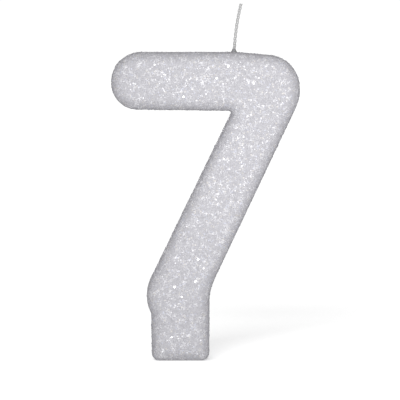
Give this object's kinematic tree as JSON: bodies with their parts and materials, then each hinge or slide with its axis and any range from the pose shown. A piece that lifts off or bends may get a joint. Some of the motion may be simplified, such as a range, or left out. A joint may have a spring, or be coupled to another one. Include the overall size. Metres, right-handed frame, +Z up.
{
  "type": "number birthday candle",
  "caption": "Moulded wax number candle shaped as a 7, silver glitter coated, with a rounded edge, a straight foot to push into icing and a short braided wick.",
  "frame": {"origin": "centre of the flat wax underside of the foot", "axes": "+Z up along the digit's height, +X to the right as the digit is read, the front face looks along -Y, y = 0 is the mould's parting plane"},
  "size_m": [0.0429, 0.011, 0.0809],
  "materials": {
    "wax": "satin moulded paraffin wax, pale silver grey",
    "binder_lacquer": "clear lacquer with fine silver dust in it",
    "silver_glitter": "fine silver glitter flakes at random tilts",
    "wick_cotton": "waxed off-white braided cotton",
    "bead_wax": "satin dark grey wax with a few glitter flakes"
  },
  "bodies": {
    "root": {"wax_body": "wax", "binder_film": "binder_lacquer", "glitter_layer_front": "silver_glitter", "glitter_layer_back": "silver_glitter", "wick_yarn_1": "wick_cotton", "wick_yarn_2": "wick_cotton", "wick_yarn_3": "wick_cotton", "wick_seal": "bead_wax"}
  },
  "joints": []
}
